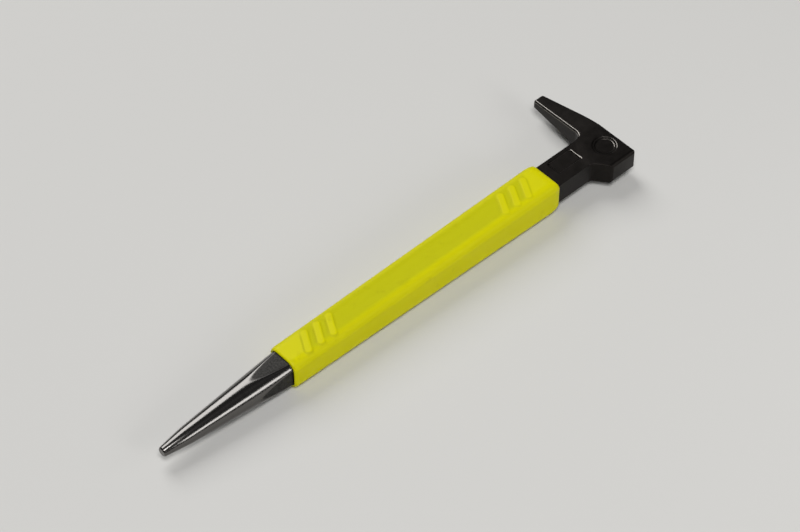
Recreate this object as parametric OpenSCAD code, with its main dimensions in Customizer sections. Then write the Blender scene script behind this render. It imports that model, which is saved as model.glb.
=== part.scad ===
// Nail set with a side beak: a forged steel bar in a soft moulded grip sleeve.
// Lengths are in millimetres. Along the bar, x runs from the punch tip to the end face.
// The beak points to +y and the poll to -y. The part lies on the sleeve's underside.

/* [Bar] */
// Length of the bar, from the punch tip to the end face
bar_l = 150; // [142:1:165]
// Width across the flats of the square shank behind the punch
shank_w = 7.8; // [6.8:0.1:8]
// Width of the flattened neck in front of the head
neck_w = 8.7; // [7.8:0.1:9.2]
// Thickness of the flattened neck
neck_t = 6.3; // [5.4:0.1:6.4]
// Depth that is dressed off the neck's four long edges
neck_ease = 0.22; // [0.2:0.02:0.5]

/* [Punch] */
// Diameter of the flat punch tip
tip_d = 2.6; // [1:0.1:3.2]
// Bevel round the edge of the punch tip
tip_bevel = 0.25; // [0.1:0.05:0.4]
// Length of the short steep nose at the tip
nose_l = 7.2; // [4:0.1:12]
// Diameter at the back of the nose
nose_d = 4.6; // [3.4:0.1:5]
// Length of the punch, from the tip to the sleeve
punch_l = 37.5; // [30:0.5:40]
// Diameter of the ground cone where it runs into the sleeve
cone_d = 9.5; // [8.4:0.1:9.7]

/* [Head] */
// Thickness of the head
head_t = 6.5; // [6.4:0.1:7.5]
// Distance from the end face to where the poll starts to flare out of the neck
flare_start = 11.7; // [10:0.1:14]
// Width of the poll's striking face along the bar, bevels included
poll_w = 8.4; // [6:0.1:9.5]
// Distance from the bar's axis to the poll's striking face
poll_reach = 8.8; // [7:0.1:12]
// Bevel along the upper and lower edges of the striking faces
face_bevel = 0.9; // [0.2:0.05:1.2]
// Bevel at the upright corners of the poll
poll_bevel = 0.5; // [0.2:0.05:1]

/* [Beak] */
// Distance from the bar's axis to the beak's tip
beak_reach = 23.4; // [16:0.1:28]
// Width of the beak where it leaves the head
beak_root_w = 6.6; // [5:0.1:7.4]
// Width of the beak at its tip
beak_tip_w = 3.4; // [1.6:0.1:4]
// Thickness of the beak at its tip
beak_tip_t = 2.7; // [1.6:0.1:4]
// Distance that the end face runs on past the neck's side before the beak's outer edge turns in
beak_shoulder = 3.2; // [0:0.1:6]
// Distance from the end face back to the outer edge of the beak's tip
beak_set = 2; // [1:0.1:3]
// Depth that is dressed off the beak's edges at its tip
beak_ease = 0.4; // [0.1:0.05:0.6]
// Radius of the inner corner between the beak and the neck
corner_r = 2.4; // [0.8:0.1:3]

/* [Plain hollows] */
// Depth of the round hollow in the head and of the long hollow in the neck
hollow_depth = 0.3; // [0.1:0.05:0.5]
// Diameter of the round hollow
hollow_d = 7; // [4:0.1:7.4]
// Distance of the round hollow's centre from the end face
hollow_back = 4.7; // [4.5:0.1:7]
// Distance of the round hollow's centre from the bar's axis, towards the poll
hollow_side = 2.1; // [1:0.1:4]
// Length of the long hollow
panel_l = 8.4; // [4:0.1:9]
// Width of the long hollow
panel_w = 4.8; // [3:0.1:6]
// Distance of the long hollow from the start of the flare
panel_gap = 0.3; // [0.2:0.1:2]
// Distance of the long hollow's centre from the bar's axis, towards the beak
panel_side = 1; // [0:0.1:1.2]

/* [Sleeve] */
// Length of the grip sleeve
sleeve_l = 88.8; // [70:0.1:92]
// Width of the square sleeve at its punch end
sleeve_front_w = 9.4; // [9.2:0.1:11]
// Width of the square sleeve at its head end
sleeve_back_w = 10.9; // [10.6:0.1:13]
// Radius of the sleeve's long edges
sleeve_edge_r = 2.5; // [1.2:0.1:2.6]
// Radius of the sleeve's rim at the punch end
front_rim_r = 0.45; // [0.2:0.05:0.5]
// Length over which the sleeve's head end is rounded off
back_round_l = 3.2; // [1:0.1:4]
// Thickness of the lip that is left at the sleeve's head end
back_lip = 0.35; // [0.2:0.05:0.6]
// Corner radius of the sleeve's bore at the punch end
bore_front_r = 1.5; // [1.2:0.1:1.6]
// Corner radius of the sleeve's bore at the head end
bore_back_r = 0.4; // [0.2:0.05:0.45]
// Clearance between the bar and the sleeve's bore, on each side
bore_fit = 0.05; // [0.03:0.01:0.15]

/* [Grip panel] */
// Depth of the long sunk panel on top of the sleeve
sink = 0.2; // [0.1:0.05:0.4]
// Width of the sunk panel
sink_w = 5.8; // [4:0.1:6]
// Space from the outermost raised bars to the ends of the sunk panel
sink_margin = 0.3; // [0.2:0.1:1.5]
// Number of raised bars at each end of the panel
grip_bars = 3; // [1:1:5]
// Spacing of the raised bars along the sleeve
grip_pitch = 3.95; // [3:0.05:6]
// Width of a raised bar
grip_bar_w = 2.1; // [1.4:0.1:2.4]
// Length of a raised bar
grip_bar_l = 7.6; // [6.5:0.1:7.8]
// Radius of a raised bar's corners, seen from above
grip_bar_r = 0.6; // [0.3:0.05:0.65]
// Height that a raised bar stands above the sleeve's top
grip_bar_h = 0.1; // [0.05:0.05:0.4]
// Depth of a raised bar's foot below the sleeve's top, where its ends run out over the rounded edges
grip_bar_foot = 0.7; // [0.6:0.05:0.75]
// Slant of the raised bars from straight across
grip_slant = 29; // [0:1:45]
// Distance from the sleeve's punch end to the middle of the nearest raised bar
grip_front = 7.5; // [6:0.1:12]
// Distance from the sleeve's head end to the middle of the nearest raised bar
grip_back = 7.7; // [7:0.1:14]

/* [Hidden] */
$fn = 64;
steel = [0.16, 0.16, 0.17];
lemon = [0.80, 0.79, 0.10];
// Cutters and overlaps reach this far past a face
over = 1;
// Turn in degrees from one flat to the next round the long edges of the sleeve and of its bore
edge_turn = 10;
bore_turn = 30;
// Turn in degrees between the sections of the sleeve's rounded rim and of its domed end
rim_turn = 30;
dome_turn = 22.5;

// Places along the bar
neck_x = punch_l + sleeve_l;
flare_x = bar_l - flare_start;
poll_x = bar_l - poll_w;

// The beak's inner root corner, and the middle of its tip
root_x = bar_l - beak_root_w;
beak_x = bar_l - beak_set - beak_tip_w / 2;
beak_y = neck_w / 2;
beak_lean = atan((beak_x - beak_tip_w / 2 - root_x) / (beak_reach - beak_y));
reach = bar_l + poll_reach + beak_reach;

// The sleeve tapers, so the bar of a part that lies on it is tipped by this angle
tilt = atan((sleeve_back_w - sleeve_front_w) / 2 / sleeve_l);
sleeve_mid_x = punch_l + sleeve_l / 2;

// Width of the sleeve at x, the same seen from above and from the side
function sleeve_w(x) = sleeve_front_w + (sleeve_back_w - sleeve_front_w) * (x - punch_l) / sleeve_l;

// Lays a shape made along the bar's axis on the sleeve's underside, whose middle is the origin
module lying() {
    rotate([0, -tilt, 0])
        translate([-sleeve_mid_x, 0, sleeve_w(sleeve_mid_x) / 2])
            children();
}

// Prisms right through the part, from outlines seen from above, from the side and from the end
module from_above() {
    translate([0, 0, -reach]) linear_extrude(2 * reach) children();
}

module from_side() {
    rotate([90, 0, 0]) from_above() children();
}

module from_end() {
    rotate([90, 0, 90]) from_above() children();
}

module rounded_rect(w, h, r) {
    square([w - 2 * r, h], center = true);
    square([w, h - 2 * r], center = true);
    for (sx = [-1, 1], sy = [-1, 1])
        translate([sx * (w / 2 - r), sy * (h / 2 - r)]) circle(r);
}

// Outline of the bar without its head: even at the punch, changing under the sleeve, even at the neck
module bar_outline(neck_size) {
    front = shank_w / 2;
    back = neck_size / 2;
    end = bar_l - over;
    polygon([[0, -front], [punch_l, -front], [neck_x, -back], [end, -back],
             [end, back], [neck_x, back], [punch_l, front], [0, front]]);
}

// What grinding leaves of the square bar: a nose, a cone, and eased edges from there to the head
module ground_envelope() {
    neck_r = norm([neck_w, neck_t]) / 2 - neck_ease;
    rotate([0, 90, 0])
        rotate_extrude()
            polygon([[0, 0], [tip_d / 2 - tip_bevel, 0], [tip_d / 2, tip_bevel], [nose_d / 2, nose_l],
                     [cone_d / 2, punch_l], [neck_r, neck_x], [neck_r, bar_l], [0, bar_l]]);
}

module shank() {
    intersection() {
        from_above() bar_outline(neck_w);
        from_side() bar_outline(neck_t);
        ground_envelope();
    }
}

// The head from above: flare, poll, end face and tapering beak in one outline
module head_outline() {
    side = neck_w / 2;
    flare = [poll_x - flare_x, side - poll_reach];
    flare_dir = flare / norm(flare);
    polygon([[flare_x, -side] - over * flare_dir,
             [poll_x, -poll_reach] - poll_bevel * flare_dir,
             [poll_x + poll_bevel, -poll_reach],
             [bar_l - poll_bevel, -poll_reach],
             [bar_l, -poll_reach + poll_bevel],
             [bar_l, beak_y + beak_shoulder],
             [beak_x + beak_tip_w / 2, beak_reach],
             [beak_x - beak_tip_w / 2, beak_reach],
             [root_x, beak_y],
             [root_x, beak_y - over]]);
}

// Rounds the inner corner between the beak and the neck
module inner_corner() {
    root = [root_x, beak_y];
    run = corner_r * tan(45 + beak_lean / 2);
    difference() {
        polygon([root + [over, -over], root + [-run, -over], root + [-run, 0],
                 root + run * [sin(beak_lean), cos(beak_lean)], root + [over, run]]);
        translate(root + [-run, corner_r]) circle(corner_r);
    }
}

// The head from its end: bevelled poll, flat middle, and a beak that thins to its tip
module head_section() {
    half = head_t / 2;
    tip = beak_tip_t / 2;
    polygon([[-poll_reach, -half + face_bevel], [-poll_reach + face_bevel, -half], [beak_y, -half],
             [beak_reach, -tip], [beak_reach, tip], [beak_y, half],
             [-poll_reach + face_bevel, half], [-poll_reach, half - face_bevel]]);
}

// The head from its side: plain towards the neck, bevelled at the end face
module head_profile() {
    half = head_t / 2;
    polygon([[0, -half], [bar_l - face_bevel, -half], [bar_l, -half + face_bevel],
             [bar_l, half - face_bevel], [bar_l - face_bevel, half], [0, half]]);
}

// Takes the beak from square at the head to nearly round at its tip
module beak_envelope() {
    root_r = norm([bar_l - beak_x, head_t / 2]) + beak_ease;
    tip_r = norm([beak_tip_w, beak_tip_t]) / 2 - beak_ease;
    length = beak_reach - beak_y;
    translate([beak_x, beak_y, 0])
        rotate([-90, 0, 0])
            rotate_extrude()
                polygon([[0, -over], [root_r, -over], [root_r, 0], [tip_r, length], [0, length]]);
    translate([0, beak_y - reach, -reach]) cube([bar_l, reach, 2 * reach]);
    from_above() inner_corner();
}

module head() {
    intersection() {
        from_above() {
            head_outline();
            inner_corner();
        }
        from_end() head_section();
        from_side() head_profile();
        beak_envelope();
    }
}

// Plain forged hollows: a round one in the head and a long one in the neck
module hollows() {
    translate([bar_l - hollow_back, -hollow_side, head_t / 2 - hollow_depth])
        cylinder(h = hollow_depth + over, d = hollow_d);
    translate([flare_x - panel_gap - panel_l / 2, panel_side, neck_t / 2 - hollow_depth])
        linear_extrude(hollow_depth + over) rounded_rect(panel_l, panel_w, hollow_depth);
}

module forged_bar() {
    color(steel) lying() difference() {
        union() {
            shank();
            head();
        }
        hollows();
    }
}

// How far a section of [x, width, height, corner radius] reaches from its middle in the direction a
function section_reach(s, a) =
    (s[1] / 2 - s[3]) * abs(cos(a)) + (s[2] / 2 - s[3]) * abs(sin(a)) + s[3];

// A solid drawn through rounded sections along the bar: all that lies inside a set of slabs,
// each as thick as the sections reach and turned from the one before it about the bar's axis
module drawn_through(sections, turn) {
    intersection_for (a = [0 : turn : 180 - turn]) {
        upper = [for (s = sections) [s[0], section_reach(s, a)]];
        lower = [for (i = [len(upper) - 1 : -1 : 0]) [upper[i][0], -upper[i][1]]];
        rotate([a, 0, 0]) from_above() polygon(concat(upper, lower));
    }
}

// The sleeve's outside: a tapering rounded square with a rounded front rim and a domed back
module sleeve_outside() {
    dome_x = neck_x - back_round_l;
    dome_w = sleeve_w(dome_x);
    lip = bore_fit + back_lip;
    front = [for (turn = [90 : -rim_turn : 0])
        let (inset = front_rim_r * (1 - cos(turn)),
             x = punch_l + front_rim_r * (1 - sin(turn)),
             w = sleeve_w(x) - 2 * inset)
            [x, w, w, sleeve_edge_r - inset]];
    dome = [for (turn = [0 : dome_turn : 90])
        let (inset = 1 - cos(turn))
            [dome_x + back_round_l * sin(turn),
             dome_w - (dome_w - neck_w - 2 * lip) * inset,
             dome_w - (dome_w - neck_t - 2 * lip) * inset,
             sleeve_edge_r - (sleeve_edge_r - bore_back_r - back_lip) * inset]];
    drawn_through(concat(front, dome), edge_turn);
}

// The bore follows the bar with bore_fit to spare, and runs out of both ends
module sleeve_bore() {
    front = [shank_w + 2 * bore_fit, shank_w + 2 * bore_fit, bore_front_r];
    back = [neck_w + 2 * bore_fit, neck_t + 2 * bore_fit, bore_back_r];
    drawn_through([concat(punch_l - over, front), concat(punch_l, front),
                   concat(neck_x, back), concat(neck_x + over, back)], bore_turn);
}

// Moves flat work on to the sleeve's sloping top, with x from the sleeve's punch end
module on_top() {
    translate([punch_l, 0, sleeve_front_w / 2]) rotate([0, -tilt, 0]) children();
}

// The long sunk panel, with ends as slanted as the bars
module sunk_panel() {
    half = sink_w / 2;
    lean = half * tan(grip_slant);
    margin = (grip_bar_w / 2 + sink_margin) / cos(grip_slant);
    front = grip_front - margin;
    back = sleeve_l - grip_back + margin;
    on_top() translate([0, 0, -sink])
        linear_extrude(sink + over)
            polygon([[front - lean, -half], [back - lean, -half],
                     [back + lean, half], [front + lean, half]]);
}

module raised_bars() {
    last = (grip_bars - 1) * grip_pitch;
    on_top()
        for (start = [grip_front, sleeve_l - grip_back - last], i = [0 : grip_bars - 1])
            translate([start + i * grip_pitch, 0, -grip_bar_foot])
                rotate([0, 0, -grip_slant])
                    linear_extrude(grip_bar_foot + grip_bar_h)
                        rounded_rect(grip_bar_w, grip_bar_l, grip_bar_r);
}

module grip_sleeve() {
    color(lemon) lying() difference() {
        union() {
            difference() {
                sleeve_outside();
                sunk_panel();
            }
            raised_bars();
        }
        sleeve_bore();
    }
}

forged_bar();
grip_sleeve();
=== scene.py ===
import math

import bmesh
import bpy
from mathutils import Matrix, Vector


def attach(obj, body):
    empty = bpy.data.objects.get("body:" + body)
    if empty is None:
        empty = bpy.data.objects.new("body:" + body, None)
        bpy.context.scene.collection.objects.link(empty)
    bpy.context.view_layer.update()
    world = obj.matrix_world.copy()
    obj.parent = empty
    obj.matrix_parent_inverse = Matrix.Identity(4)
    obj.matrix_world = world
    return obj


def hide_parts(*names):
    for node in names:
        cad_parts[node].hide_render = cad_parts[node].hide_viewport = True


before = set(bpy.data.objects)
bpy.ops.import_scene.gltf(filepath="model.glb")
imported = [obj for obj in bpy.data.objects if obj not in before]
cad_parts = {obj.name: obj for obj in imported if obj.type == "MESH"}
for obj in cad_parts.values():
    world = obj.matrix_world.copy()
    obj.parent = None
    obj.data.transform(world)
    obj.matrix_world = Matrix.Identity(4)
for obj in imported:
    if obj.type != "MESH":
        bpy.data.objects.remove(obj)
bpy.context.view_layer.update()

# The nail set lies on its sleeve on a pale bench. Both pieces are drawn in millimetres along the bar:
# x from the punch tip to the end face, y towards the beak, z up from the bar's axis.
# Then they are laid on the bench in metres. The near side is the poll's, and the far side is the beak's.
QUARTER = math.pi / 2
# Places that are closer than this are taken as one place
SAME = 0.01
# Edges this close to a border, or closer, are taken as the border's own
BORDER = 0.1
# A face looks along an axis when its normal has at least this share of it
FACING = 0.9
# A hair under 150, because the rounded bevels at the end face reach past the flat ones of the solid
BAR_L = 149.99
PUNCH_L = 37.5
SLEEVE_L = 88.8
NECK_X = PUNCH_L + SLEEVE_L
SLEEVE_FRONT_W = 9.4
SLEEVE_BACK_W = 10.9
TAPER = (SLEEVE_BACK_W - SLEEVE_FRONT_W) / 2 / SLEEVE_L
TILT = math.atan(TAPER)
SLEEVE_MID = PUNCH_L + SLEEVE_L / 2
LYING = (Matrix.Scale(0.001, 4) @ Matrix.Rotation(-TILT, 4, "Y")
         @ Matrix.Translation((-SLEEVE_MID, 0, (SLEEVE_FRONT_W + SLEEVE_BACK_W) / 4)))

# Punch: a short steep nose, then a long cone ground on a square bar
TIP_R = 1.3
TIP_BEVEL = 0.25
NOSE_L = 7.2
NOSE_R = 2.3
CONE_R = 4.75
TIP_ROUND = 0.12
NOSE_ROUND = 1.2
ROUND_STEPS = 3
SHANK_HALF = 3.9
GROUND_SIDES = 288
GROUND_RINGS = 60
# The long edges of the cone and the shank, which the rings cut: their least length, and where their
# middles lie
CONE_EDGE = 10
CONE_MIDDLES = (NOSE_L + 3, PUNCH_L + 10)
# How softly the flats run into the cone, and the depth of grinding over which their forged skin ends
GROUND_SOFTNESS = 0.16
SKIN_FADE = 0.12
SHANK_END = 96.0
SHANK_END_R = 5.0

# Neck and head
NECK_START = 100.0
NECK_HALF_W = 4.35
NECK_HALF_T = 3.15
HEAD_HALF_T = 3.25
STEP_RUN = 2.5
FLARE_X = 138.3
POLL_X = 141.6
POLL_Y = -8.8
BEAK_ROOT_X = 143.4
BEAK_BEND_Y = 7.55
BEAK_TIP_X = (144.6, 148.0)
BEAK_TIP_Y = 23.4
BEAK_TIP_HALF_T = 1.35
STRIKING_BEVEL = 0.9
POLL_BEVEL = 0.5
BEAK_EDGE = 0.55
FORGED_EDGE = 0.1
EASED_STEPS = 5
EASED_PROFILE = 0.38
# Edges that turn by more than this angle, in radians, are eased
SHARP_TURN = 0.9
# Edges that rise by more than this are upright, on the poll and on the beak
POLL_UPRIGHT = 1
BEAK_UPRIGHT = 1.5
# The end face is bevelled up to this place, in front of the beak
END_BEVEL_Y = 1
# Roundings of the corners seen from above, each with its steps
SQUARE = (0, 0)
FLARE_ROUND = (0.9, 4)
BEND_ROUND = (3.0, 6)
BEAK_TIP_ROUND = (0.6, 5)
BEAK_ROOT_ROUND = (2.5, 10)
# Lines across the beak, between which it thins to its tip
BEAK_LINES = (NECK_HALF_W, 7.0, 12.0, 17.0, 22.4)
# The stretch of the beak's inner edge that is worn through and lightened as a painted highlight, and how
# far the rounded root reaches in front of it
RUBBED_GLINT_BEAK = (NECK_HALF_W + BORDER, BEAK_TIP_Y - 0.5)
ROOT_REACH = 3
# The rise of the normals on an eased upper edge, and on the part of a pressing tool that leaves a lip
EASED_RISE = (0.15, 0.99)
LIP_RISE = (-0.97, -0.8)
# Middles of the two hollows. The round one's walls are rings of radius and depth, and its lip is worn
# through and lightened from a place past its middle, a painted highlight on that side. The long one's are
# rings of half length, half width and depth.
ROUND_HOLLOW = (145.3, -2.1)
ROUND_HOLLOW_RINGS = [(2.38, 0.30), (2.50, 0.20), (2.60, 0.165), (2.75, 0.15), (3.08, 0.15), (3.20, 0.06),
                      (3.30, 0.02), (3.44, 0.0), (3.5, -0.02), (3.5, -0.6)]
ROUND_HOLLOW_SIDES = 96
RUBBED_GLINT_LIP = 1.6
LONG_HOLLOW = (133.8, 1.0)
LONG_HOLLOW_RINGS = [(3.80, 2.00, 0.30), (3.98, 2.18, 0.06), (4.15, 2.35, 0.01), (4.22, 2.42, -0.02),
                     (4.22, 2.42, -0.5)]
LONG_HOLLOW_CORNER = 0.4
LONG_HOLLOW_STEPS = 6
# Turn between two faces, in degrees, past which the edge between them stays sharp
BAR_SHARP = 25
SLEEVE_SHARP = 35

# Sleeve
EDGE_R = 2.5
RIM_R = 0.42
RIM_L = 1.1
RIM_STEPS = 6
DOME_L = 3.2
DOME_STEPS = 12
LIP = 0.35
FIT = 0.05
DOME_CORNER = 0.75
BORE_FRONT_CORNER = 1.5
BORE_BACK_CORNER = 0.4
MOUTH_EASE = 0.2
MOUTH_CORNER = 2.45
MOUTH_DEPTH = 0.5
CORNER_STEPS = 20
# Cuts along the sleeve, each set between the ones before it, and across its top
LONG_CUTS = (3, 84)
TOP_CUTS = 28
# The sleeve's outside lies past this share of its half width, and its bore inside it
OUTSIDE_SHARE = 0.83
# Edges that run further than this are cut, along the sleeve and across its top
LONG_EDGE = 5
TOP_EDGE = 3

# The shallow dish along the sleeve's top and the raised ribs at its ends. The ribs lie a little to the
# near side, and the dish slopes more gently there.
SINK = 0.2
SINK_NEAR = -3.2
SINK_FAR = 2.9
ETCH_NEAR = -3.9
ETCH_FAR = 3.9
SINK_START = 5.96
SINK_END = 82.64
SINK_SLOPE = 1.4
NEAR_SLOPE = 2.8
RIB_W = 2.1
RIB_LONG = 7.3
RIB_CORNER = 0.9
RIB_RISE = 0.1
RIB_SLOPE = 0.7
RIB_SHIFT = 0.5
RIB_PITCH = 3.95
RIB_STARTS = (7.5, 73.2)
RIBS_EACH = 3
SLANT = math.radians(29)
# Painted shade along the ribs' flanks: full within this half length, then fading to a share at the ribs'
# ends
FLANK_HALF = 2.9
FLANK_FADE = 1.2
RIB_END_SHARE = 0.4
# How strong the painted shade on the ribs' flanks is, on the front ribs and on the back ribs
FRONT_FLANK_SHADE = 0.32
BACK_FLANK_SHADE = 0.06
# Points this far below the sleeve's top, or less, belong to it
TOP_BAND = 1


def only(piece):
    """Makes a piece the one that is selected and active."""
    bpy.ops.object.select_all(action="DESELECT")
    piece.select_set(True)
    bpy.context.view_layer.objects.active = piece


def begin(name):
    """Takes the primitive just added as a new piece, with its place in its mesh, and opens it."""
    piece = bpy.context.object
    piece.name = piece.data.name = name
    only(piece)
    bpy.ops.object.transform_apply(location=True, rotation=True, scale=True)
    bpy.ops.object.mode_set(mode="EDIT")
    return piece


def reopen(piece):
    only(piece)
    bpy.ops.object.mode_set(mode="EDIT")


def face_outwards():
    bpy.ops.mesh.select_all(action="SELECT")
    bpy.ops.mesh.normals_make_consistent(inside=False)


def close():
    face_outwards()
    bpy.ops.object.mode_set(mode="OBJECT")


def dress(piece, *skins):
    for skin in skins:
        piece.data.materials.append(skin)


def pick(kind, test):
    """Selects the open mesh's vertices, edges or faces that pass a test of their place and themselves."""
    bpy.ops.mesh.select_mode(type=kind)
    bpy.ops.mesh.select_all(action="DESELECT")
    mesh = bmesh.from_edit_mesh(bpy.context.object.data)
    if kind == "VERT":
        chosen = [v for v in mesh.verts if test(v.co, v)]
    elif kind == "EDGE":
        chosen = [e for e in mesh.edges if test((e.verts[0].co + e.verts[1].co) / 2, e)]
    else:
        chosen = [f for f in mesh.faces if test(f.calc_center_median(), f)]
    for item in chosen:
        item.select_set(True)
    bmesh.update_edit_mesh(bpy.context.object.data)


def span(edge):
    """How far an edge runs along x, y and z."""
    return [abs(a - b) for a, b in zip(edge.verts[0].co, edge.verts[1].co)]


def move(x=0.0, y=0.0, z=0.0):
    bpy.ops.transform.translate(value=(x, y, z))


def draw_out(x=0.0, y=0.0, z=0.0):
    bpy.ops.mesh.extrude_region_move(TRANSFORM_OT_translate={"value": (x, y, z)})


def size(x, y, z, about):
    bpy.ops.transform.resize(value=(x, y, z), center_override=about)


def finish_with(piece, kind, **settings):
    """Adds a modifier with these settings and applies it."""
    only(piece)
    bpy.ops.object.modifier_add(type=kind)
    modifier = piece.modifiers[-1]
    for name, value in settings.items():
        setattr(modifier, name, value)
    bpy.ops.object.modifier_apply(modifier=modifier.name)


def carve(piece, tool):
    finish_with(piece, "BOOLEAN", operation="DIFFERENCE", solver="EXACT", object=tool)
    bpy.data.objects.remove(tool)


def lay_down(piece, sharp_angle):
    """Lays a finished piece on the bench, in metres, and smooths it between its sharp edges."""
    only(piece)
    piece.matrix_world = LYING
    bpy.ops.object.transform_apply(location=True, rotation=True, scale=True)
    bpy.ops.object.shade_smooth_by_angle(angle=math.radians(sharp_angle), keep_sharp_edges=True)
    finish_with(piece, "WEIGHTED_NORMAL", keep_sharp=True)


# Finishes

def colour(hex_text):
    """The linear colour of an sRGB hex value."""
    parts = [int(hex_text[i:i + 2], 16) / 255 for i in (0, 2, 4)]
    return [p / 12.92 if p <= 0.04045 else ((p + 0.055) / 1.055) ** 2.4 for p in parts] + [1.0]


def per_mm(size_mm):
    """The texture scale that gives a pattern of this size, for coordinates in metres."""
    return 1000 / size_mm


def node(tree, kind, inputs=None, **settings):
    """Adds a node with its settings, and gives its inputs values or links."""
    made = tree.nodes.new(kind)
    for name, value in settings.items():
        setattr(made, name, value)
    for name, value in (inputs or {}).items():
        if isinstance(value, bpy.types.NodeSocket):
            tree.links.new(value, made.inputs[name])
        else:
            made.inputs[name].default_value = value
    return made


def new_finish(name):
    """A new material, its node tree, its shader and the object coordinates that its patterns read."""
    material = bpy.data.materials.new(name)
    material.use_nodes = True
    tree = material.node_tree
    place = node(tree, "ShaderNodeTexCoord").outputs["Object"]
    return material, tree, tree.nodes["Principled BSDF"], place


def blackened_forging():
    """Hot-forged steel with a thin oiled black oxide: near black, half glossy, uneven from the die."""
    material, tree, skin, place = new_finish("blackened_forging")
    mottle = node(tree, "ShaderNodeTexNoise", {"Vector": place, "Scale": per_mm(1.6), "Detail": 5.0})
    grain = node(tree, "ShaderNodeTexNoise", {"Vector": place, "Scale": per_mm(0.35), "Detail": 3.0})
    tone = node(tree, "ShaderNodeMix", {"Factor": mottle.outputs["Fac"], "A": colour("201E1C"),
                                        "B": colour("2D2A28")}, data_type="RGBA")
    gloss = node(tree, "ShaderNodeMapRange", {"Value": mottle.outputs["Fac"], "From Min": 0.3,
                                              "From Max": 0.7, "To Min": 0.36, "To Max": 0.42})
    wave = node(tree, "ShaderNodeBump", {"Height": mottle.outputs["Fac"], "Strength": 0.5,
                                         "Distance": 0.00003})
    pits = node(tree, "ShaderNodeBump", {"Height": grain.outputs["Fac"], "Strength": 0.5,
                                         "Distance": 0.00004, "Normal": wave.outputs["Normal"]})
    skin.inputs["Metallic"].default_value = 1.0
    tree.links.new(tone.outputs["Result"], skin.inputs["Base Color"])
    tree.links.new(gloss.outputs["Result"], skin.inputs["Roughness"])
    tree.links.new(pits.outputs["Normal"], skin.inputs["Normal"])
    return material


def rubbed_glint_oxide():
    """The same black oxide on an edge, worn through to grey steel. Its lighter tone is partly wear and
    partly a painted highlight.
    """
    material, tree, skin, place = new_finish("rubbed_oxide_painted_glint")
    wear = node(tree, "ShaderNodeTexNoise", {"Vector": place, "Scale": per_mm(1.2), "Detail": 4.0})
    tone = node(tree, "ShaderNodeMix", {"Factor": wear.outputs["Fac"], "A": colour("55524F"),
                                        "B": colour("86827D")}, data_type="RGBA")
    skin.inputs["Metallic"].default_value = 1.0
    skin.inputs["Roughness"].default_value = 0.25
    tree.links.new(tone.outputs["Result"], skin.inputs["Base Color"])
    return material


def ground_steel():
    """Tool steel ground to a dark polish, with fine lines round it. The flats keep a grey forged skin.
    The lines are 0.2 mm apart, ten times coarser than the real grit's, so that they show."""
    material, tree, skin, place = new_finish("ground_tool_steel")
    left = node(tree, "ShaderNodeAttribute", attribute_name="forged_skin").outputs["Fac"]
    stretch = node(tree, "ShaderNodeMapping", {"Vector": place,
                                               "Scale": (per_mm(0.2), per_mm(4), per_mm(4))})
    lines = node(tree, "ShaderNodeTexNoise", {"Vector": stretch.outputs["Vector"], "Scale": 1.0,
                                              "Detail": 2.0})
    scale = node(tree, "ShaderNodeTexNoise", {"Vector": place, "Scale": per_mm(0.45), "Detail": 4.0})
    patch = node(tree, "ShaderNodeMapRange", {"Value": scale.outputs["Fac"], "From Min": 0.3,
                                              "From Max": 0.7})
    skin_tone = node(tree, "ShaderNodeMix", {"Factor": patch.outputs["Result"], "A": colour("262524"),
                                             "B": colour("454442")}, data_type="RGBA")
    tone = node(tree, "ShaderNodeMix", {"Factor": left, "A": colour("666462"),
                                        "B": skin_tone.outputs["Result"]}, data_type="RGBA")
    gloss = node(tree, "ShaderNodeMapRange", {"Value": lines.outputs["Fac"], "To Min": 0.15,
                                              "To Max": 0.22})
    dull = node(tree, "ShaderNodeMix", {"Factor": left, "A": gloss.outputs["Result"], "B": 0.5})
    ground = node(tree, "ShaderNodeBump", {"Height": lines.outputs["Fac"], "Strength": 0.3,
                                           "Distance": 0.000005})
    forged = node(tree, "ShaderNodeBump", {"Height": scale.outputs["Fac"], "Strength": left,
                                           "Distance": 0.00002, "Normal": ground.outputs["Normal"]})
    skin.inputs["Metallic"].default_value = 1.0
    tree.links.new(tone.outputs["Result"], skin.inputs["Base Color"])
    tree.links.new(dull.outputs["Result"], skin.inputs["Roughness"])
    tree.links.new(forged.outputs["Normal"], skin.inputs["Normal"])
    return material


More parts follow.
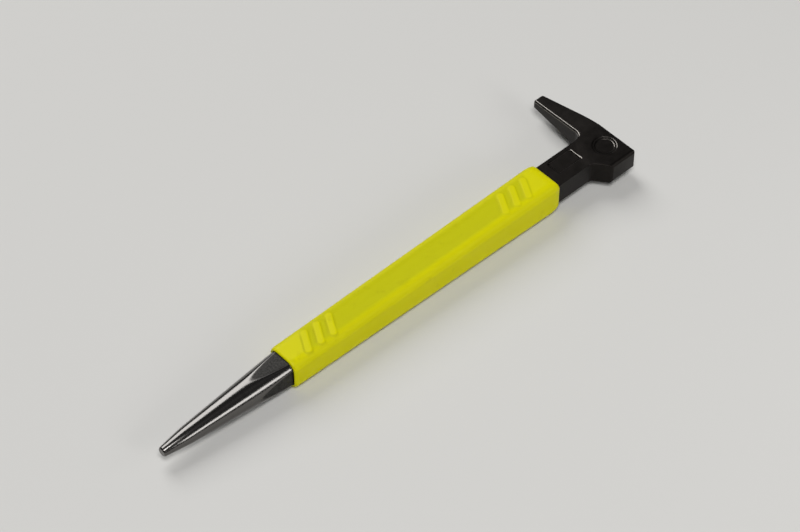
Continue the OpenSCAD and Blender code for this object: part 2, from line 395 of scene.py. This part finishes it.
def lemon_pvc():
    """Soft moulded PVC: lemon yellow, a little translucent, satin, with faint smudges of handling.
    The dish carries the mould's etching, so it is duller there, and the raised ribs' flanks get a painted
    shade, darker and duller."""
    material, tree, skin, place = new_finish("lemon_pvc_satin")
    etched_or_flank_shade = node(tree, "ShaderNodeAttribute", attribute_name="etched_or_flank_shade").outputs["Fac"]
    flank_shade = node(tree, "ShaderNodeAttribute", attribute_name="flank_shade").outputs["Fac"]
    cloud = node(tree, "ShaderNodeTexNoise", {"Vector": place, "Scale": per_mm(9), "Detail": 3.0})
    smudge = node(tree, "ShaderNodeTexNoise", {"Vector": place, "Scale": per_mm(4), "Detail": 4.0})
    grain = node(tree, "ShaderNodeTexNoise", {"Vector": place, "Scale": per_mm(0.25), "Detail": 2.0})
    clean = node(tree, "ShaderNodeMix", {"Factor": cloud.outputs["Fac"], "A": colour("D4CF04"),
                                         "B": colour("CECA03")}, data_type="RGBA")
    tone = node(tree, "ShaderNodeMix", {"Factor": etched_or_flank_shade, "A": clean.outputs["Result"],
                                        "B": colour("BEBD08")}, data_type="RGBA")
    dirt = node(tree, "ShaderNodeMapRange", {"Value": smudge.outputs["Fac"], "From Min": 0.62,
                                             "From Max": 0.8, "To Max": 0.35})
    # The smudges are handling dirt; the flank share is painted shade
    smudge_or_shade = node(tree, "ShaderNodeMath", {0: dirt.outputs["Result"], 1: flank_shade}, operation="MAXIMUM")
    smudged_or_shaded = node(tree, "ShaderNodeMix", {"Factor": smudge_or_shade.outputs["Value"], "A": tone.outputs["Result"],
                                          "B": colour("A09A08")}, data_type="RGBA")
    gloss = node(tree, "ShaderNodeMapRange", {"Value": etched_or_flank_shade, "To Min": 0.42, "To Max": 0.68})
    peel = node(tree, "ShaderNodeBump", {"Height": grain.outputs["Fac"], "Strength": 0.4,
                                         "Distance": 0.000006})
    skin.inputs["IOR"].default_value = 1.53
    skin.inputs["Specular IOR Level"].default_value = 0.09
    skin.inputs["Subsurface Weight"].default_value = 0.4
    skin.inputs["Subsurface Radius"].default_value = (1.0, 0.92, 0.1)
    skin.inputs["Subsurface Scale"].default_value = 0.0007
    tree.links.new(smudged_or_shaded.outputs["Result"], skin.inputs["Base Color"])
    tree.links.new(gloss.outputs["Result"], skin.inputs["Roughness"])
    tree.links.new(peel.outputs["Normal"], skin.inputs["Normal"])
    return material


def pale_bench():
    """A plain painted bench top: pale, matt and even."""
    material, _, skin, _ = new_finish("pale_bench_paint")
    skin.inputs["Base Color"].default_value = colour("CFCECB")
    skin.inputs["Roughness"].default_value = 0.8
    return material


BLACKENED = blackened_forging()
RUBBED_GLINT = rubbed_glint_oxide()
GROUND = ground_steel()
LEMON = lemon_pvc()
BENCH = pale_bench()


# Forged bar

def ground_punch():
    """The round punch, with the flats that are left of the square bar it was ground from."""
    bpy.ops.mesh.primitive_cone_add(
        vertices=GROUND_SIDES, radius1=NOSE_R, radius2=CONE_R, depth=PUNCH_L - NOSE_L,
        location=((NOSE_L + PUNCH_L) / 2, 0, 0), rotation=(0, QUARTER, 0))
    punch = begin("ground_punch")
    dress(punch, GROUND)
    pick("FACE", lambda at, face: face.normal.x < -FACING)
    draw_out(x=TIP_BEVEL - NOSE_L)
    size(1, TIP_R / NOSE_R, TIP_R / NOSE_R, (TIP_BEVEL, 0, 0))
    draw_out(x=-TIP_BEVEL)
    flat_share = (TIP_R - TIP_BEVEL) / TIP_R
    size(1, flat_share, flat_share, (0, 0, 0))
    pick("FACE", lambda at, face: face.normal.x > FACING)
    draw_out(x=SHANK_END - PUNCH_L)
    size(1, SHANK_END_R / CONE_R, SHANK_END_R / CONE_R, (SHANK_END, 0, 0))
    pick("EDGE", lambda at, edge: all(abs(v.co.x - NOSE_L) < SAME for v in edge.verts))
    bpy.ops.mesh.bevel(offset=NOSE_ROUND, segments=ROUND_STEPS, affect="EDGES")
    pick("EDGE", lambda at, edge: all(abs(v.co.x - TIP_BEVEL) < SAME for v in edge.verts))
    bpy.ops.mesh.bevel(offset=TIP_ROUND, segments=ROUND_STEPS, affect="EDGES")
    pick("EDGE", lambda at, edge: CONE_MIDDLES[0] < at.x < CONE_MIDDLES[1] and span(edge)[0] > CONE_EDGE)
    bpy.ops.mesh.subdivide(number_cuts=GROUND_RINGS)
    pick("FACE", lambda at, face: face.normal.x > FACING)
    bpy.ops.mesh.delete(type="FACE")
    leave_flats(punch)
    close()
    return punch


def leave_flats(punch):
    """Takes the round bar back to the flats of the square one, and records where forged skin is left."""
    mesh = bmesh.from_edit_mesh(punch.data)
    layer = mesh.verts.layers.float.new("forged_skin")
    for vertex in mesh.verts:
        along = max(0.0, vertex.co.x - PUNCH_L) / SLEEVE_L
        halves = (SHANK_HALF + (NECK_HALF_W - SHANK_HALF) * along,
                  SHANK_HALF + (NECK_HALF_T - SHANK_HALF) * along)
        for axis, half in ((1, halves[0]), (2, halves[1])):
            out = abs(vertex.co[axis])
            vertex[layer] = max(vertex[layer], min(1.0, max(0.0, (out - half) / SKIN_FADE)))
            kept = (out + half - math.hypot(out - half, GROUND_SOFTNESS)) / 2
            vertex.co[axis] = math.copysign(kept, vertex.co[axis])
    bmesh.update_edit_mesh(punch.data)


def drawn_outline(corners):
    """A flat face with these corners, each of them [x, y, rounding, steps], at the head's underside."""
    bpy.ops.mesh.primitive_circle_add(vertices=len(corners), radius=1, fill_type="NGON")
    piece = begin("beaked_head")
    dress(piece, BLACKENED, RUBBED_GLINT)
    starts = [v.co.copy() for v in bmesh.from_edit_mesh(piece.data).verts]
    for number, (x, y, *_) in enumerate(corners):
        pick("VERT", lambda at, vertex: vertex.index == number)
        move(x - starts[number].x, y - starts[number].y, -HEAD_HALF_T - starts[number].z)
    for x, y, rounding, steps in corners:
        if rounding:
            pick("VERT", lambda at, vertex: math.hypot(at.x - x, at.y - y) < SAME)
            bpy.ops.mesh.bevel(offset=rounding, segments=steps, affect="VERTICES")
    return piece


def split(point, normal, test):
    """Scores a line across the faces that pass a test, and takes nothing away."""
    pick("FACE", test)
    bpy.ops.mesh.bisect(plane_co=point, plane_no=normal, use_fill=False)


def beaked_head():
    """Neck, flared poll and beak: one outline drawn to its thickness, thinned, and eased at its edges."""
    start_half = SHANK_HALF + (NECK_HALF_W - SHANK_HALF) * (NECK_START - PUNCH_L) / SLEEVE_L
    head = drawn_outline([
        (NECK_START, -start_half, *SQUARE),
        (NECK_X, -NECK_HALF_W, *SQUARE),
        (FLARE_X, -NECK_HALF_W, *FLARE_ROUND),
        (POLL_X, POLL_Y, *SQUARE),
        (BAR_L, POLL_Y, *SQUARE),
        (BAR_L, BEAK_BEND_Y, *BEND_ROUND),
        (BEAK_TIP_X[1], BEAK_TIP_Y, *BEAK_TIP_ROUND),
        (BEAK_TIP_X[0], BEAK_TIP_Y, *BEAK_TIP_ROUND),
        (BEAK_ROOT_X, NECK_HALF_W, *BEAK_ROOT_ROUND),
        (NECK_X, NECK_HALF_W, *SQUARE),
        (NECK_START, start_half, *SQUARE),
    ])
    bpy.ops.mesh.select_all(action="SELECT")
    draw_out(z=2 * HEAD_HALF_T)
    face_outwards()
    # The beak is drawn down towards its tip
    thinning = BEAK_TIP_HALF_T / HEAD_HALF_T - 1
    length = BEAK_TIP_Y - NECK_HALF_W
    for y in BEAK_LINES:
        split((0, y, 0), (0, 1, 0), lambda at, face: True)
    for vertex in bmesh.from_edit_mesh(head.data).verts:
        vertex.co.z *= 1 + thinning * max(0.0, vertex.co.y - NECK_HALF_W) / length
    bmesh.update_edit_mesh(head.data)

    def rim(at, edge):
        return at.x > NECK_START + BORDER and edge.is_manifold and edge.calc_face_angle(0) > SHARP_TURN

    def poll_corner(at, edge):
        return rim(at, edge) and at.y < POLL_Y + SAME and span(edge)[2] > POLL_UPRIGHT

    def striking(at, edge):
        on_face = at.y < POLL_Y + SAME or (at.x > BAR_L - SAME and at.y < END_BEVEL_Y)
        return rim(at, edge) and on_face and not poll_corner(at, edge)

    def beak_rim(at, edge):
        return rim(at, edge) and at.y > NECK_HALF_W + BORDER and span(edge)[2] < BEAK_UPRIGHT

    for test, width in ((rim, FORGED_EDGE), (poll_corner, POLL_BEVEL), (striking, STRIKING_BEVEL),
                        (beak_rim, BEAK_EDGE)):
        pick("EDGE", test)
        bpy.ops.transform.edge_bevelweight(value=-1)
        bpy.ops.transform.edge_bevelweight(value=width / STRIKING_BEVEL)
    close()
    finish_with(head, "BEVEL", width=STRIKING_BEVEL, segments=EASED_STEPS, profile=EASED_PROFILE,
                limit_method="WEIGHT", use_clamp_overlap=False)
    step_neck(head)
    rub_glint_edges(head)
    carve(head, round_hollow())
    carve(head, long_hollow())
    return head


def rub_to_glint(piece, test):
    """Rubs the oxide through on the open piece's faces that pass a test, lightening them as a painted
    highlight.
    """
    pick("FACE", test)
    piece.active_material_index = 1
    bpy.ops.object.material_slot_assign()


def rub_glint_edges(head):
    """Rubs the oxide through on the beak's inner edge and at the poll's corner: partly wear, partly
    painted highlights where these edges catch the light.
    """
    reopen(head)
    corner = Vector((POLL_X, POLL_Y, HEAD_HALF_T))
    slope = (BEAK_TIP_X[0] - BEAK_ROOT_X) / (BEAK_TIP_Y - NECK_HALF_W)

    def rubbed_glint(at, face):
        inner_x = BEAK_ROOT_X + slope * (at.y - NECK_HALF_W)
        beside = inner_x - ROOT_REACH < at.x < inner_x + BEAK_EDGE
        within = RUBBED_GLINT_BEAK[0] < at.y < RUBBED_GLINT_BEAK[1]
        eased = EASED_RISE[0] < face.normal.z < EASED_RISE[1]
        return (beside and within and eased) or (at - corner).length < POLL_BEVEL

    rub_to_glint(head, rubbed_glint)
    close()


def step_neck(head):
    """Dresses the neck a little thinner than the head, up to a line from the flare to the beak's root."""
    reopen(head)
    flare = Vector((FLARE_X, -NECK_HALF_W, 0))
    root = Vector((BEAK_ROOT_X, NECK_HALF_W, 0))
    across = (root - flare).cross(Vector((0, 0, 1))).normalized()
    for back in (0.0, STEP_RUN):
        split(flare - back * across, across, lambda at, face: at.y < NECK_HALF_W + SAME)
    pick("VERT", lambda at, vertex: at.y < NECK_HALF_W + SAME
         and (at - flare).dot(across) < -STEP_RUN + SAME)
    size(1, 1, NECK_HALF_T / HEAD_HALF_T, (0, 0, 0))
    close()


def round_hollow():
    """The tool that presses a plain stepped hollow in the head's top."""
    x, y = ROUND_HOLLOW
    floor_radius, depth = ROUND_HOLLOW_RINGS[0]
    bpy.ops.mesh.primitive_circle_add(vertices=ROUND_HOLLOW_SIDES, radius=floor_radius, fill_type="NGON",
                                      location=(x, y, HEAD_HALF_T - depth))
    tool = begin("round_hollow")
    rings = [(radius, radius, depth) for radius, depth in ROUND_HOLLOW_RINGS]
    raise_walls(tool, (x, y), rings, x + RUBBED_GLINT_LIP)
    return tool


def long_hollow():
    """The tool that presses a plain long hollow in the neck's top."""
    x, y = LONG_HOLLOW
    half_x, half_y, depth = LONG_HOLLOW_RINGS[0]
    bpy.ops.mesh.primitive_plane_add(size=1, location=(x, y, NECK_HALF_T - depth))
    tool = begin("long_hollow")
    size(2 * half_x, 2 * half_y, 1, (x, y, 0))
    bpy.ops.mesh.bevel(offset=LONG_HOLLOW_CORNER, segments=LONG_HOLLOW_STEPS, affect="VERTICES")
    raise_walls(tool, (x, y), LONG_HOLLOW_RINGS, x + half_x)
    return tool


def raise_walls(tool, place, rings, glint_from):
    """Draws a pressing tool up from its face through rings of [half length, half width, depth].
    The lips that it leaves past a place along the bar are worn through the oxide and lightened, a painted
    highlight on that side only."""
    dress(tool, BLACKENED, RUBBED_GLINT)
    bpy.ops.mesh.select_all(action="SELECT")
    for (low_x, low_y, low), (high_x, high_y, high) in zip(rings, rings[1:]):
        draw_out(z=low - high)
        size(high_x / low_x, high_y / low_y, 1, (*place, 0))
    face_outwards()
    rub_to_glint(tool, lambda at, face: at.x > glint_from and LIP_RISE[0] < face.normal.z < LIP_RISE[1])
    close()


def forged_bar():
    """The punch and the head, joined into one closed piece under the sleeve."""
    punch = ground_punch()
    head = beaked_head()
    reopen(head)
    pick("FACE", lambda at, face: face.normal.x < -FACING and at.x < NECK_START + SAME)
    bpy.ops.mesh.delete(type="FACE")
    bpy.ops.object.mode_set(mode="OBJECT")
    only(punch)
    head.select_set(True)
    bpy.ops.object.join()
    bpy.ops.object.mode_set(mode="EDIT")
    pick("EDGE", lambda at, edge: edge.is_boundary)
    bpy.ops.mesh.bridge_edge_loops()
    close()
    punch.name = punch.data.name = "beaked_bar"
    lay_down(punch, BAR_SHARP)
    return punch


# Grip sleeve

def ring(x, wide, high, corner, mark):
    """Adds a rounded square across the bar to the open mesh, and marks its points."""
    bpy.ops.mesh.primitive_plane_add(size=1, location=(x, 0, 0), rotation=(0, QUARTER, 0))
    if bpy.context.object.mode == "OBJECT":
        begin("lemon_grip")
    size(1, wide, high, (x, 0, 0))
    bpy.ops.mesh.bevel(offset=corner, segments=CORNER_STEPS, affect="VERTICES")
    mesh = bmesh.from_edit_mesh(bpy.context.object.data)
    layer = mesh.verts.layers.int.get("ring") or mesh.verts.layers.int.new("ring")
    for vertex in mesh.verts:
        if not vertex[layer]:
            vertex[layer] = mark
    bmesh.update_edit_mesh(bpy.context.object.data)
    pick("FACE", lambda at, face: all(v[layer] == mark for v in face.verts))
    bpy.ops.mesh.delete(type="ONLY_FACE")


def sleeve_half(x):
    return SLEEVE_FRONT_W / 2 + TAPER * (x - PUNCH_L)


def lofted(rings):
    """One closed tube through rings of [x, width, height, corner radius]. The last joins the first."""
    for mark, (x, wide, high, corner) in enumerate(rings, start=1):
        ring(x, wide, high, corner, mark)
    piece = bpy.context.object
    for mark in range(1, len(rings) + 1):
        pair = {mark, mark % len(rings) + 1}
        layer = bmesh.from_edit_mesh(piece.data).verts.layers.int["ring"]
        pick("EDGE", lambda at, edge: edge.verts[0][layer] == edge.verts[1][layer]
             and edge.verts[0][layer] in pair)
        bpy.ops.mesh.bridge_edge_loops()
    close()
    piece.data.attributes.remove(piece.data.attributes["ring"])
    return piece


def grip_sleeve():
    """The sleeve, drawn from its front rim to its domed back and forwards again through its bore."""
    rings = []
    for step in range(RIM_STEPS + 1):
        turn = QUARTER * (1 - step / RIM_STEPS)
        inset = RIM_R * (1 - math.cos(turn))
        x = PUNCH_L + RIM_L * (1 - math.sin(turn))
        rings.append((x, 2 * (sleeve_half(x) - inset), 2 * (sleeve_half(x) - inset), EDGE_R - inset))
    dome_x = NECK_X - DOME_L
    dome_half = sleeve_half(dome_x)
    for step in range(DOME_STEPS + 1):
        turn = QUARTER * step / DOME_STEPS
        inset = 1 - math.cos(turn)
        rings.append((dome_x + DOME_L * math.sin(turn),
                      2 * (dome_half - (dome_half - NECK_HALF_W - FIT - LIP) * inset),
                      2 * (dome_half - (dome_half - NECK_HALF_T - FIT - LIP) * inset),
                      EDGE_R - (EDGE_R - DOME_CORNER) * inset))
    bore = 2 * (SHANK_HALF + FIT)
    rings.append((NECK_X, 2 * (NECK_HALF_W + FIT), 2 * (NECK_HALF_T + FIT), BORE_BACK_CORNER))
    mouth = bore + 2 * MOUTH_EASE
    rings.append((PUNCH_L + MOUTH_DEPTH, bore, bore, BORE_FRONT_CORNER))
    rings.append((PUNCH_L, mouth, mouth, MOUTH_CORNER))
    sleeve = lofted(rings)
    dress(sleeve, LEMON)
    reopen(sleeve)
    for cuts in LONG_CUTS:
        pick("EDGE", lambda at, edge: PUNCH_L + RIM_L < at.x < dome_x - BORDER
             and span(edge)[0] > LONG_EDGE
             and max(abs(at.y), abs(at.z)) > OUTSIDE_SHARE * sleeve_half(at.x))
        bpy.ops.mesh.subdivide(number_cuts=cuts)
    pick("EDGE", lambda at, edge: at.z > 0 and span(edge)[0] < SAME and span(edge)[1] > TOP_EDGE)
    bpy.ops.mesh.subdivide(number_cuts=TOP_CUTS)
    press_panel(sleeve)
    close()
    lay_down(sleeve, SLEEVE_SHARP)
    return sleeve


def soft_step(share):
    """A smooth ramp that is 0 up to 0, and 1 from 1 on."""
    share = min(1.0, max(0.0, share))
    return share * share * (3 - 2 * share)


def dish_share(along, across, near_side, far_side, near_slope):
    """How much of the dish there is at a place on the sleeve's top, between its two long sides."""
    slanted = along - across * math.tan(SLANT)
    ends = soft_step((slanted - SINK_START) / SINK_SLOPE) * soft_step((SINK_END - slanted) / SINK_SLOPE)
    near = soft_step((across - near_side) / near_slope)
    far = soft_step((far_side - across) / SINK_SLOPE)
    return ends * near * far


def rib_share(along, across):
    """How much of a raised rib's height there is at a place on the sleeve's top."""
    nearest = RIB_LONG
    for start in RIB_STARTS:
        for number in range(RIBS_EACH):
            off = along - start - number * RIB_PITCH
            over_rib = off * math.cos(SLANT) - across * math.sin(SLANT)
            down_rib = off * math.sin(SLANT) + across * math.cos(SLANT) + RIB_SHIFT
            side = abs(over_rib) - RIB_W / 2 + RIB_CORNER
            end = abs(down_rib) - RIB_LONG / 2 + RIB_CORNER
            outside = math.hypot(max(side, 0), max(end, 0)) + min(max(side, end), 0) - RIB_CORNER
            nearest = min(nearest, outside)
    return soft_step(0.5 - nearest / RIB_SLOPE)


def press_panel(sleeve):
    """Presses the dish and the raised ribs into the open sleeve's top, and records where the mould's
    etching lies and where a painted shade darkens the ribs' flanks, through both records."""
    mesh = bmesh.from_edit_mesh(sleeve.data)
    mesh.verts.layers.float.new("etched_or_flank_shade")
    mesh.verts.layers.float.new("flank_shade")
    etched_or_flank_shade, flank_shade = (mesh.verts.layers.float[name] for name in ("etched_or_flank_shade", "flank_shade"))
    for vertex in mesh.verts:
        x, y, z = vertex.co
        top = sleeve_half(x)
        if not (PUNCH_L + RIM_L < x < NECK_X - DOME_L and z > top - TOP_BAND):
            continue
        along = (x - PUNCH_L) / math.cos(TILT)
        raised = rib_share(along, y)
        low = z - SINK * dish_share(along, y, SINK_NEAR, SINK_FAR, NEAR_SLOPE)
        vertex.co.z = low + (top + RIB_RISE - low) * raised
        # Painted shade on the ribs' flanks, darkest along their long sides: it darkens them through both
        # the etching's tone and the flank share
        long_side = soft_step((FLANK_HALF - abs(y + RIB_SHIFT)) / FLANK_FADE)
        flank = 4 * raised * (1 - raised) * (RIB_END_SHARE + (1 - RIB_END_SHARE) * long_side)
        vertex[etched_or_flank_shade] = max(flank, dish_share(along, y, ETCH_NEAR, ETCH_FAR, SINK_SLOPE) * (1 - raised))
        vertex[flank_shade] = flank * (FRONT_FLANK_SHADE if along < SLEEVE_L / 2 else BACK_FLANK_SHADE)
    bmesh.update_edit_mesh(sleeve.data)


bar = forged_bar()
sleeve = grip_sleeve()


# Bench, light and camera
bpy.ops.mesh.primitive_plane_add(size=8)
bench = bpy.context.object
bench.name = "bench"
dress(bench, BENCH)


def soft_box(name, direction, distance, width, height, power):
    """A soft box that looks at the tool from this direction. Lengths are in metres and power in watts."""
    lamp = bpy.data.lights.new(name, "AREA")
    lamp.shape = "RECTANGLE"
    lamp.size = width
    lamp.size_y = height
    lamp.energy = power
    box = bpy.data.objects.new(name, lamp)
    place = Vector(direction).normalized() * distance
    box.matrix_world = Matrix.Translation(place) @ place.to_track_quat("Z", "Y").to_matrix().to_4x4()
    bpy.context.scene.collection.objects.link(box)


soft_box("key_softbox", (0.14, 0.69, 0.71), 1.2, 0.62, 0.85, 7.9)
soft_box("side_softbox", (0.14, -0.9, 0.38), 1.2, 0.34, 0.34, 2.2)
soft_box("head_softbox", (0.59, -0.7, 0.4), 0.29, 0.1, 0.08, 0.06)
soft_box("front_softbox", (-0.29, -0.37, 0.88), 1.3, 0.45, 0.45, 10.2)

world = bpy.data.worlds.new("dim_studio")
world.use_nodes = True
world.node_tree.nodes["Background"].inputs["Color"].default_value = colour("FFFFFF")
world.node_tree.nodes["Background"].inputs["Strength"].default_value = 0.05
bpy.context.scene.world = world

lens = bpy.data.cameras.new("camera")
lens.sensor_width = 36.0
lens.lens = 117.0
camera = bpy.data.objects.new("camera", lens)
stand = Vector((-0.29191, -0.31334, 0.48968))
target = Vector((0.00158, 0.00854, -0.00009))
aim = (stand - target).to_track_quat("Z", "Y").to_matrix().to_4x4()
camera.matrix_world = Matrix.Translation(stand) @ aim
bpy.context.scene.collection.objects.link(camera)
bpy.context.scene.camera = camera
bpy.context.scene.view_settings.view_transform = "Standard"

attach(bar, "root")
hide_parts("forged_bar")
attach(sleeve, "root")
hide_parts("grip_sleeve")
